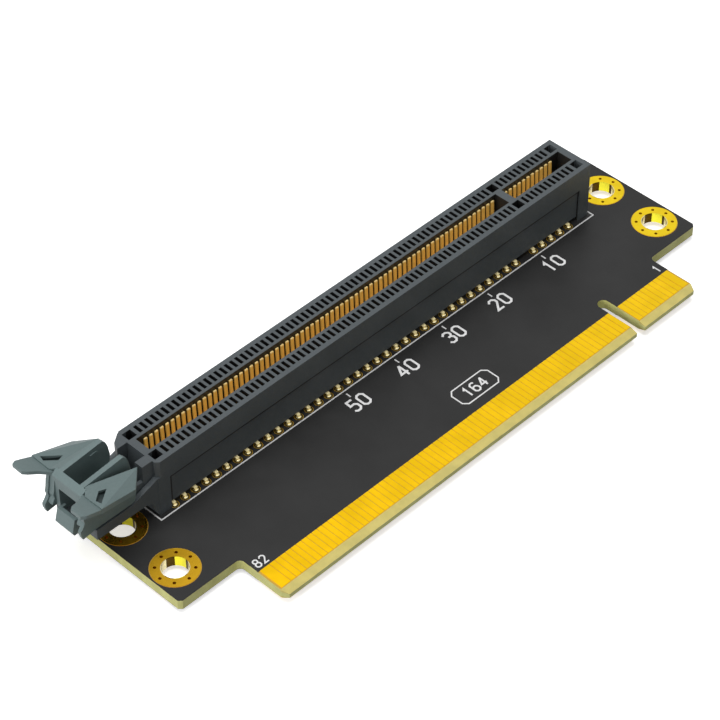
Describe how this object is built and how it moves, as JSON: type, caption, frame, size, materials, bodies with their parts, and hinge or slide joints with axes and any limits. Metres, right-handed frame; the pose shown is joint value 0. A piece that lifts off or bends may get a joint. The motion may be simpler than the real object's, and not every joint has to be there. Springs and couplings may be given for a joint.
{
  "type": "pcie riser card",
  "caption": "Reverse riser board: a card slot soldered on its face, an edge connector on its front tongue and a winged latch lever.",
  "frame": {"origin": "centre of the four mounting holes, on the bare board face", "axes": "+X along the slot towards contact 1, +Y away from the edge connector, +Z out of the board towards the mouth of the slot"},
  "size_m": [0.1143, 0.034, 0.0162],
  "materials": {
    "board_core": "matte",
    "solder_mask": "satin",
    "legend_ink": "matte",
    "gold_plating": "polished",
    "contact_strip": "polished",
    "solder": "satin",
    "housing_plastic": "matte",
    "latch_plastic": "matte"
  },
  "bodies": {
    "card": {"circuit_board": "board_core", "solder_mask_top": "solder_mask", "solder_mask_bottom": "solder_mask", "legend_top": "legend_ink", "edge_contacts_top": "gold_plating", "edge_contacts_bottom": "gold_plating", "hole_plating_front_left": "gold_plating", "hole_plating_front_right": "gold_plating", "hole_plating_rear_left": "gold_plating", "hole_plating_rear_right": "gold_plating", "slot_contacts_front_inner": "contact_strip", "slot_contacts_front_outer": "contact_strip", "slot_contacts_rear_inner": "contact_strip", "slot_contacts_rear_outer": "contact_strip", "pin_lands_front_inner": "gold_plating", "pin_lands_front_outer": "gold_plating", "pin_lands_rear_inner": "gold_plating", "pin_lands_rear_outer": "gold_plating", "solder_joints_front_inner": "solder", "solder_joints_front_outer": "solder", "solder_joints_rear_inner": "solder", "solder_joints_rear_outer": "solder", "slot_housing": "housing_plastic"},
    "lever": {"latch_lever": "latch_plastic"}
  },
  "joints": [
    {"name": "latch_pivot", "type": "hinge", "parent": "card", "child": "lever", "pos_m": [-0.0494, 0.00736, 0.00635], "axis": [0, 1, 0], "range_deg": [0, 18]}
  ]
}
